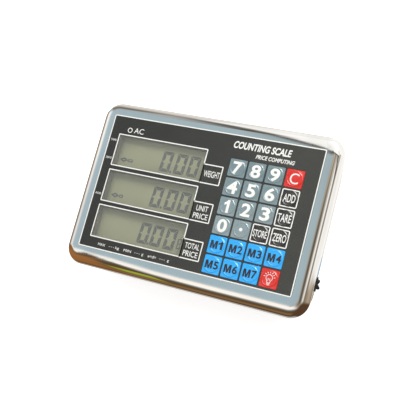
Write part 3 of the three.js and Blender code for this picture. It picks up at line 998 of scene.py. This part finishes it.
def mains_inlet():
    """Rear flange with a shrouded socket: rounded lip, rounded corners, three flat blades."""
    low, high = node_box("mains_inlet")
    at = centre("mains_inlet")
    flange = extent("mains_inlet")
    seat = node_box("rear_cover")[0].z
    floor_z = high.z - 5
    mouth = INLET_MOUTH
    levels = [
        (mouth, 2.0, floor_z, 0), (mouth, 2.0, low.z + 0.5, 0), (mouth, 2.0, low.z, -0.5),
        (flange, 2.2, low.z, 1.2), (flange, 2.2, low.z + 0.3, 0.4), (flange, 2.2, low.z + 0.9, 0),
        (flange, 2.2, seat, 0), (INLET_CASE, 2.2, seat, 0), (INLET_CASE, 2.2, high.z - 0.4, 0),
        (INLET_CASE, 2.2, high.z, 0.4),
    ]
    shroud = stack([ring(*size, radius, z, inset, at, 4) for size, radius, z, inset in levels])
    blades = [
        block(2.0, 4.0, 6.4, floor_z + 0.5, 0.4, 0.3, (at[0] + dx, at[1] + dy), 3)
        for dx, dy in BLADES
    ]
    return shroud, merged(blades)


shroud, blades = mains_inlet()
piece("inlet_shroud", shroud, "black", replaces=["mains_inlet"])
piece("inlet_blades", blades, "zinc")


INLET_OPENING = (27.6, 20.4)
GROMMET_HOLE = 6
LOUVRE = (22, 2)
LOUVRE_AT = (80, 18)
LOUVRE_PITCH = 5
LOUVRES = 6
PLATE_HOLES = ((-42, -24), (42, -24), (42, 24), (-42, 24))


def rear_cover():
    """Sheet cover with louvre slots and a shallow stiffening bead round its edge."""
    low, high = node_box("rear_cover")
    levels = [
        (high.z, 0), (low.z + 0.3, 0), (low.z, 0.3), (low.z, 15.6), (low.z + 0.35, 16.2),
        (low.z + 0.35, 18.2), (low.z, 18.8), (low.z, 19.6),
    ]
    size = (*extent("rear_cover"), CORNER_RADIUS - 1)
    sheet = stack([ring(*size, z, inset, (0, 0), 12) for z, inset in levels])
    span = (low.z - 1, high.z + 1)
    cuts = [disc(SCREW_HOLE, *span, centre(screw)) for screw in SCREWS]
    cuts.append(disc(GROMMET_HOLE, *span, centre("cable_grommet"), 32))
    cuts.append(block(*INLET_OPENING, *span, 0.5, 0.05, centre("mains_inlet"), 2))
    for k in range(LOUVRES):
        at = (LOUVRE_AT[0], LOUVRE_AT[1] + LOUVRE_PITCH * k)
        cuts.append(block(*LOUVRE, *span, 0.95, 0.05, at, 4))
    return carve(sheet, cuts)


piece("cover_sheet", rear_cover(), "rear", replaces=["rear_cover"])


def bracket_plate():
    """Thick plate with broken edges and four countersunk holes."""
    low, high = node_box("bracket_plate")
    plate = block(*extent("bracket_plate"), low.z, high.z, 6, 0.4, (0, 0), 8)
    cuts = []
    for at in PLATE_HOLES:
        profile = [(2.9, low.z - 0.5), (2.9, low.z), (2.1, low.z + 0.8), (2.1, high.z + 0.5)]
        cuts.append(stack([circle(r, z, at, 28) for r, z in profile]))
    return carve(plate, cuts)


def weld_beads():
    """Short rippled welds that hold the plate to the cover."""
    low, high = node_box("bracket_plate")
    cover_z = node_box("rear_cover")[0].z
    rise = [(1.3, 0.1), (1.2, -0.5), (0.8, -1.0), (0.3, -1.25)]
    places = [
        (-30, high.y, 1, 0), (30, high.y, 1, 0), (-30, low.y, 1, 0), (30, low.y, 1, 0),
        (low.x, 0, 0, 1), (high.x, 0, 0, 1),
    ]
    runs = []
    for x, y, across, up in places:
        for k in range(9):
            step = (k - 4) * 1.6
            at = (x + across * step, y + up * step)
            runs.append(stack([circle(r, cover_z + z, at, 16) for r, z in rise]))
    return merged(runs)


piece("mount_plate", bracket_plate(), "zinc", replaces=["bracket_plate"])
piece("weld_beads", weld_beads(), "rear")


# ---- camera, lights, floor ----
CAMERA_AT = Vector((250.4, -91.5, FACE_Z + 599.4)) * MM
CAMERA_RIGHT = Vector((0.9104, 0.2566, -0.3246))
CAMERA_UP = Vector((-0.1927, 0.9572, 0.2161))
FOCAL_SHARE = 720.33 / 416


def camera():
    data = bpy.data.cameras.new("camera")
    data.sensor_width = 36
    data.lens = FOCAL_SHARE * data.sensor_width
    data.clip_start = 0.01
    data.clip_end = 20
    obj = added("camera", data)
    right = CAMERA_RIGHT.normalized()
    back = right.cross(CAMERA_UP).normalized()
    up = back.cross(right)
    turn = Matrix((right, up, back)).transposed().to_4x4()
    obj.matrix_world = Matrix.Translation(CAMERA_AT) @ turn
    bpy.context.scene.camera = obj


camera()


LIGHT_SIZE = 0.9


def area_light(name, at, power):
    data = bpy.data.lights.new(name, "AREA")
    data.shape = "DISK"
    data.size = LIGHT_SIZE
    data.energy = power
    obj = added(name, data)
    obj.location = at
    obj.rotation_mode = "QUATERNION"
    obj.rotation_quaternion = (-Vector(at)).to_track_quat("-Z", "Y")
    obj.visible_glossy = False


area_light("key_light", (-0.5, 1.1, 1.6), 20)
area_light("side_light", (1.2, 0.9, 1.3), 12)


def studio_world():
    world = bpy.data.worlds.new("studio")
    world.use_nodes = True
    background = world.node_tree.nodes["Background"]
    background.inputs["Color"].default_value = (1, 1, 1, 1)
    background.inputs["Strength"].default_value = 0.72
    bpy.context.scene.world = world


studio_world()

# ---- what the polished steel mirrors ----
# A direction is a point on a plane: the zenith is (0, 0), the horizon is at distance 1 and the
# nadir at 2. X points right and Y away from the viewer, as on the object.
def along(value, stops):
    """Value of a run of (place, number or colour) stops, straight between them."""
    if value <= stops[0][0]:
        return stops[0][1]
    for (a, first), (b, second) in zip(stops, stops[1:]):
        if value <= b:
            return blend(first, second, (value - a) / (b - a))
    return stops[-1][1]


def blend(first, second, share):
    if isinstance(first, tuple):
        return tuple(p + (q - p) * share for p, q in zip(first, second))
    return first + (second - first) * share


def ease(value, low, high):
    share = min(max((value - low) / (high - low), 0), 1)
    return share * share * (3 - 2 * share)


def grey(level, warmth=0):
    return (level, level - warmth * 0.4, level - warmth)


def stops(*rows):
    """Runs for along(): rows of a place and a grey with its warmth, or a place and a colour."""
    return [(place, grey(*tone) if len(tone) == 2 else tuple(tone)) for place, *tone in rows]


# Stops are in display values. Places run from 0 at the zenith to 1 at the horizon and 2 below.
CEILING = (160, 179, 187)
FAR_EDGE = [
    (0.25, -0.183), (0.34, -0.200), (0.42, -0.219), (0.50, -0.236), (0.59, -0.275),
    (0.66, -0.315), (0.70, -0.37), (0.75, -0.7), (0.80, -2),
]
FAR_SIDE = stops(
    (-0.15, 162, 178, 184), (-0.11, 166, -4), (-0.075, 148, 2), (-0.058, 118, 10),
    (-0.046, 82, 14), (-0.014, 104, 10), (0.0, 178, 6), (0.012, 246, 4), (0.12, 249, 4),
    (0.28, 232, 7), (0.5, 226, 6), (0.9, 240, 4),
)
LINE_AT = [(-0.27, 0.1695), (-0.21, 0.1667), (-0.172, 0.1649), (-0.153, 0.1640), (-0.142, 0.1618)]
LINE_DEPTH = [(-0.27, 138), (-0.24, 110), (-0.21, 74), (-0.18, 60)]
FAR_LEAST = [(0.42, 60), (0.50, 118), (0.57, 140), (0.70, 176)]
FAR_LEFT = stops(
    (0.16, 160, 176, 184), (0.26, 168, -4), (0.33, 142, 4), (0.40, 108, 12), (0.50, 116, 14),
    (0.60, 146, 15), (0.70, 190, 14), (0.85, 212, 12), (1.1, 224, 10),
)
RIGHT_SIDE = stops(
    (-0.15, 160, 176, 182), (-0.05, 146, 20), (0.03, 104, 24), (0.12, 86, 24), (0.2, 112, 18),
    (0.30, 172, 12), (0.38, 228, 8), (0.48, 244, 9), (0.56, 180, 14), (0.62, 110, 18),
    (0.67, 118, 16), (0.74, 208, 10), (0.82, 246, 6), (1.1, 236, 6), (1.6, 246, 3),
)
LINE_RIGHT = [(-0.142, 0.1618), (-0.02, 0.183), (0.2, 0.192), (0.45, 0.192), (0.62, 0.182)]
SEAM = [(-0.1, 228), (0.2, 224), (0.36, 200), (0.55, 165)]
RIGHT_LOW = [
    (0.6, 0.039), (1.0, 0.053), (1.3, 0.080), (1.5, 0.12), (1.64, 0.185), (1.72, 0.26),
    (1.75, 0.4), (1.79, 0.85),
]
RIGHT_BROWN = stops(
    (0.6, 132, 122, 105), (1.1, 185, 170, 149), (1.5, 155, 140, 122), (1.8, 118, 96, 72),
)
LEFT_SIDE = stops(
    (0.34, 164, 181, 189), (0.43, 194, -4), (0.52, 214, 0), (0.61, 228, 3), (0.69, 230, 5),
    (0.78, 214, 8), (0.87, 184, 12), (0.96, 146, 20), (1.04, 122, 26), (1.13, 112, 28),
    (1.22, 116, 28), (1.3, 130, 26), (1.4, 146, 24),
)
NEAR_SIDE = stops(
    (0.19, 252, 3), (0.26, 215, 6), (0.34, 158, 12), (0.42, 110, 18), (0.50, 88, 24),
    (0.60, 84, 34), (0.70, 98, 72, 44), (0.80, 120, 90, 56), (0.90, 130, 100, 68),
    (1.02, 110, 84, 56), (1.12, 82, 62, 42), (1.25, 58, 46, 32), (1.6, 70, 56, 40),
)
NEAR_SHIFT = [
    (-0.33, 0.40), (-0.309, 0.38), (-0.303, 0.30), (-0.296, 0.22), (-0.275, 0.10), (-0.24, 0.0),
]
TABLE_EDGE = [(0, -0.321), (0.4, -0.350), (0.55, -0.378), (0.7, -0.41), (0.9, -0.47), (1.1, -0.6)]
TABLE = stops(
    (-0.02, 88, 74, 60), (-0.012, 96, 76, 56), (0.05, 128, 86, 52), (0.2, 150, 102, 58),
    (0.8, 142, 96, 54), (1.0, 106, 72, 40), (1.5, 112, 78, 48),
)
GLINT_START = 0.335
GLINT_Y = 0.0208
LAMP_AT = (0.17, 0.54)
LAMP_CORE = 0.1
LAMP_RIM = 0.26
LAMP_LIGHT = (780, 780, 768)
PAPER = (186, 183, 178)
CORNER_BROWN = (84, 60, 42)
NEAR_START = [
    (-0.34, 0.0217), (-0.332, 0.0212), (-0.324, 0.0212), (-0.308, 0.0210), (-0.295, 0.0205),
    (-0.274, 0.0198), (-0.243, 0.0195), (-0.21, 0.0198), (-0.176, 0.0200),
]
BAND_END = [
    (-0.35, 0.0208), (-0.34, 0.0203), (-0.332, 0.0198), (-0.324, 0.0189), (-0.316, 0.0184),
    (-0.308, 0.0177), (-0.302, 0.010), (-0.295, -0.04),
]


def far_side(x, y):
    colour = along(x - along(y, FAR_EDGE), FAR_SIDE)
    line = grey(along(x, LINE_DEPTH), 10)
    beyond = y - along(x, LINE_AT)
    below = along(beyond, [(-0.0055, CEILING), (-0.0018, (156, 170, 174)), (-0.0006, line)])
    colour = blend(below, colour, ease(beyond, 0.0002, 0.0012))
    least = along(y, FAR_LEAST)
    colour = tuple(max(c, least) for c in colour)
    left = blend(along(y, FAR_LEFT), grey(196, 12), ease(-x, 0.62, 0.85) * (1 - ease(y, 0.4, 0.6)))
    return blend(colour, left, ease(-x, 0.31, 0.36))


def leaf(x, y):
    """Share of a green leaf that lies on the table."""
    edge = -0.29 - 0.1 * (-y - 0.4)
    across = 1 - ease(abs(x - edge + 0.035) / 0.035, 0.6, 1.0)
    return across * ease(-y, 0.42, 0.5) * (1 - ease(-y, 0.68, 0.78))


def near_side(x, y):
    down = -y
    shift = along(x, NEAR_SHIFT) * (1 - ease(down, 0.1, 0.8))
    colour = along(down + shift, NEAR_SIDE)
    end = along(x, BAND_END)
    if y > end and x < -0.25:
        colour = grey(250, 8)
    table = 1 - ease(x, along(down, TABLE_EDGE) - 0.008, along(down, TABLE_EDGE) + 0.008)
    table *= 1 - ease(y, end - 0.0005, end + 0.0005)
    colour = blend(colour, along(down, TABLE), table)
    colour = blend(colour, (150, 160, 56), leaf(x, y))
    fall = math.degrees(math.atan2(0.02 - y, x + 0.15))
    most = 152 + 100 * (ease(fall, 28, 55) if x > -0.15 else 1)
    colour = tuple(min(c, most - 8 * i) for i, c in enumerate(colour))
    return blend(colour, CORNER_BROWN, ease(x + 0.2 * down, 0.2, 0.5))


def right_side(x, y):
    colour = along(x, RIGHT_SIDE)
    glow = 1 + 0.55 * ease(y, 0.08, 0.16) * ease(x, -0.08, 0.0) * (1 - ease(x, 0.2, 0.32))
    colour = tuple(min(c * glow, 250) for c in colour)
    line = along(x, LINE_RIGHT)
    spread = 1 + 6 * ease(x, -0.12, 0.05)
    past = (y - line) / spread
    if x < 0.62:
        dark = grey(66, 12)
        lining = [(-0.003, colour), (-0.0008, dark), (0.0004, dark), (0.0016, grey(248, 5))]
        colour = along(past, lining)
    shade = 1 - ease(y / along(x, RIGHT_LOW), 0.8, 1.1)
    colour = blend(colour, along(x, RIGHT_BROWN), shade * ease(x, 0.45, 0.6))
    seam = 1 - ease(abs(x + y - 0.75) / 0.05, 0.3, 1.0)
    open_sky = blend(grey(248, 5), grey(along(x, SEAM), 10), seam)
    above = ease(past, 0.0004, 0.0016) if x < 0.62 else ease(y - 0.1 * x, 0.17, 0.25)
    return blend(colour, open_sky, above)


def left_side(x, y):
    lift = 1 + 0.09 * ease(y, 0.07, 0.14)
    return tuple(min(c * lift, 252) for c in along(-x, LEFT_SIDE))


def surroundings(x, y):
    """Colour of the studio in one direction, in display values."""
    colour = CEILING
    beside = 1 - ease(y + x * 0.4, 0.0, 0.14)
    colour = blend(colour, left_side(x, y), ease(-x, 0.33, 0.36) * beside)
    far_low = 0.157 + max(0, -x - 0.36) * 0.8
    rightward = ease(x, -0.148, -0.142)
    farther = ease(y, far_low, far_low + 0.002)
    colour = blend(colour, far_side(x, y), farther * (1 - rightward))
    colour = blend(colour, right_side(x, y), rightward)
    start = along(x, NEAR_START)
    reach = ease(x, -0.13, 0.1)
    from_below = ease(y, start - 0.0008 - 0.2 * reach, start + 0.0008 + 0.01 * reach)
    if x > 0.1:
        from_below = ease(y, -0.2, 0.03 + 0.05 * ease(x, 0.3, 0.5))
    if x < -0.36:
        from_below = ease(y, -0.05, 0.01)
    colour = blend(near_side(x, y), colour, from_below)
    past = -x - GLINT_START
    if past > 0:
        spread = abs(y - GLINT_Y + 0.16 * past) / (0.001 + 0.085 * past)
        share = (1 - ease(spread, 0.5, 1.2)) * (1 - ease(past, 0.13, 0.28))
        colour = blend(colour, grey(244, 5), share)
    lamp = 1 - ease(math.hypot(x - LAMP_AT[0], y - LAMP_AT[1]), LAMP_CORE, LAMP_RIM)
    low = ease(math.hypot(x, y), 1.25, 1.4) * (1 - ease(x, 0.3, 0.6)) * (1 - ease(y, 0.3, 0.6))
    colour = blend(colour, PAPER, 0.9 * low)
    return blend(colour, LAMP_LIGHT, lamp)


def linear(level):
    share = level / 255
    return share / 12.92 if share < 0.04045 else ((share + 0.055) / 1.055) ** 2.4


# Places where the dome's grid is finer, as runs of (start, step, count).
FINE_COLUMNS = ((-0.37, 0.004, 18), (-0.22, 0.0125, 6), (-0.151, 0.003, 8))
FINE_ROWS = ((0.0162, 0.0007, 12), (0.1575, 0.0006, 17), (0.17, 0.004, 10))


def grid_places(runs):
    """Lines of the dome's grid along one axis: an even run with the finer ones put in."""
    places = {round(-2 + 0.025 * i, 4) for i in range(161)}
    for start, step, count in runs:
        places.update(start + step * i for i in range(count))
    return sorted(places)


DOME_RADIUS = 90.0
STEEL_TONE = 0.85


def mirrored_dome():
    """A dome round the object that only reflections see, coloured by surroundings()."""
    xs = grid_places(FINE_COLUMNS)
    ys = grid_places(FINE_ROWS)
    bm = bmesh.new()
    tint = bm.verts.layers.float_color.new("tint")
    rows = []
    for y in ys:
        row = []
        for x in xs:
            zenith = math.pi / 2 * math.hypot(x, y)
            if zenith > math.pi:
                row.append(None)
                continue
            turn = math.atan2(y, x)
            flat = DOME_RADIUS * math.sin(zenith)
            height = DOME_RADIUS * math.cos(zenith)
            place = (flat * math.cos(turn), flat * math.sin(turn), height)
            vert = bm.verts.new(place)
            vert[tint] = (*(linear(c) / STEEL_TONE for c in surroundings(x, y)), 1)
            row.append(vert)
        rows.append(row)
    for lower, upper in zip(rows, rows[1:]):
        for i in range(len(xs) - 1):
            corners = (lower[i], lower[i + 1], upper[i + 1], upper[i])
            if all(corners):
                bm.faces.new(corners)
    mesh = mesh_of(bm, "surroundings")
    mesh.materials.append(dome_glow())
    dome = added("surroundings", mesh)
    for ray in ("camera", "diffuse", "transmission", "shadow"):
        setattr(dome, "visible_" + ray, False)


def dome_glow():
    material = bpy.data.materials.new("dome_glow")
    material.use_nodes = True
    tree = material.node_tree
    tree.nodes.clear()
    attribute = tree.nodes.new("ShaderNodeVertexColor")
    attribute.layer_name = "tint"
    emission = tree.nodes.new("ShaderNodeEmission")
    output = tree.nodes.new("ShaderNodeOutputMaterial")
    tree.links.new(attribute.outputs["Color"], emission.inputs["Color"])
    tree.links.new(emission.outputs["Emission"], output.inputs["Surface"])
    material.cycles.emission_sampling = "NONE"
    return material


mirrored_dome()


FLOOR_WHITE = (0.93, 0.93, 0.93)
FLOOR_HALF = 18
FLOOR_Z = -0.0001


def paper_floor():
    """White paper that glows a little, so that the shadow under the head stays pale."""
    m = Nodes("floor_paper", FLOOR_WHITE, 0.8, specular=0.1)
    m.colour(m.mottle(m.noise(0.01, detail=2), FLOOR_WHITE, 0.985, 1))
    m.set_inputs(m.shader, {"Emission Color": (1, 1, 1, 1), "Emission Strength": 0.55})
    mesh = bpy.data.meshes.new("floor")
    corners = ((-1, -1), (1, -1), (1, 1), (-1, 1))
    mesh.from_pydata([(x * FLOOR_HALF, y * FLOOR_HALF, FLOOR_Z) for x, y in corners], [], [range(4)])
    mesh.materials.append(m.material)
    floor = added("floor", mesh)
    floor.visible_glossy = False


paper_floor()

bpy.context.scene.view_settings.view_transform = "Standard"

CAD_LOOKS = {
    "film": "front_film",
    "recess": "display_frame",
    "black": ("keypad_frame", "processor", "buzzer", "switch_body", "power_rocker", "mains_inlet"),
    "board": ("keypad_board", "main_board"),
    "laminate": "power_board",
    "core": "transformer",
    "battery": "battery",
    "zinc": ("battery_clamp", "bracket_plate", "cover_screw"),
    "lamp": "mains_lamp",
    "rubber": "cable_grommet",
    "rear": "rear_cover",
    "digit": "key_",
    "lcd": "lcd_",
    "pane": "window_pane",
}
for name, obj in frame["nodes"].items():
    looks = [look for look, starts in CAD_LOOKS.items() if name.startswith(starts)]
    if looks:
        obj.data.materials.clear()
        obj.data.materials.append(MATERIALS[looks[-1]])
